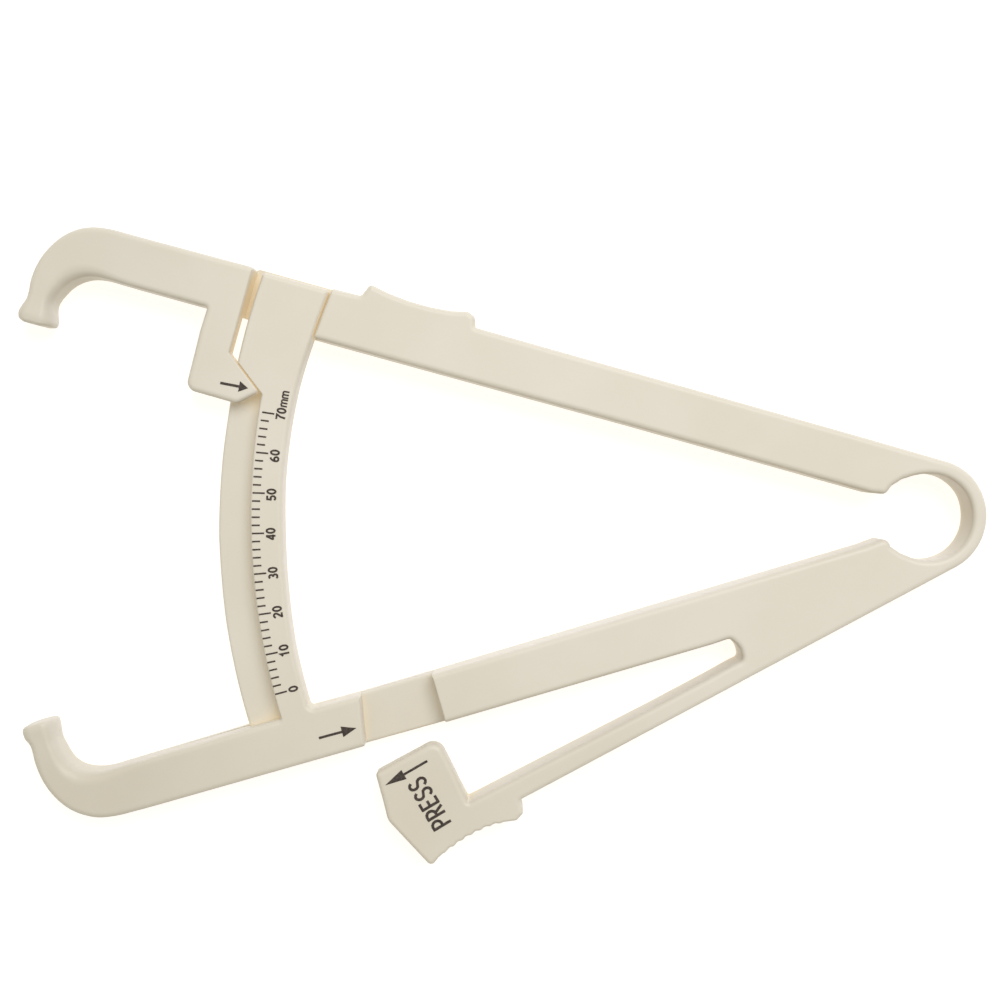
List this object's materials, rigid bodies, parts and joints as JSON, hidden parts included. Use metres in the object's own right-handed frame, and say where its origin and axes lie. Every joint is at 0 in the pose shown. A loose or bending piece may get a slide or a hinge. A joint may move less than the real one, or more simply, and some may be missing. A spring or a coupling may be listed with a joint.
{
  "type": "skinfold caliper",
  "caption": "C-shaped plastic skinfold caliper: two spring-joined arms with hooked jaws, a curved millimetre scale behind a pointer and a sprung thumb lever.",
  "frame": {"origin": "under the middle of the outline, on the face the caliper rests on", "axes": "+X from the jaws to the spring ring, +Y towards the upper arm, +Z out of the printed face"},
  "size_m": [0.178, 0.1164, 0.0081],
  "materials": {
    "cream_plastic": "satin",
    "dark_ink": "matte"
  },
  "bodies": {
    "lower_frame": {"lower_arm": "cream_plastic", "recess_floor": "cream_plastic", "lower_jaw": "cream_plastic", "lower_pad": "cream_plastic", "scale_rail": "cream_plastic", "guide_track": "cream_plastic", "stop_plate": "cream_plastic", "spring_ring": "cream_plastic", "scale_marks": "dark_ink", "scale_numerals": "dark_ink", "arm_arrow": "dark_ink"},
    "upper_limb": {"upper_arm": "cream_plastic", "thumb_rest": "cream_plastic", "guide_bridge": "cream_plastic", "upper_jaw": "cream_plastic", "upper_pad": "cream_plastic", "pointer": "cream_plastic", "pointer_arrow": "dark_ink"},
    "press_lever": {"lever_leaf": "cream_plastic", "press_head": "cream_plastic", "thumb_grip": "cream_plastic", "lever_arrow": "dark_ink", "lever_label": "dark_ink"}
  },
  "joints": [
    {"name": "jaw_close", "type": "hinge", "parent": "lower_frame", "child": "upper_limb", "pos_m": [0.08031, 0.00542, 0.004], "axis": [0, 0, 1], "range_deg": [0, 24.7], "stiffness_Nm_per_rad": 0.55, "springref_deg": -2.86, "deforming": ["spring_ring"]},
    {"name": "lever_press", "type": "hinge", "parent": "lower_frame", "child": "press_lever", "pos_m": [0.02688, -0.02961, 0.004], "axis": [0, 0, -1], "range_deg": [0, 13], "stiffness_Nm_per_rad": 1.2, "deforming": ["lever_leaf"]}
  ]
}
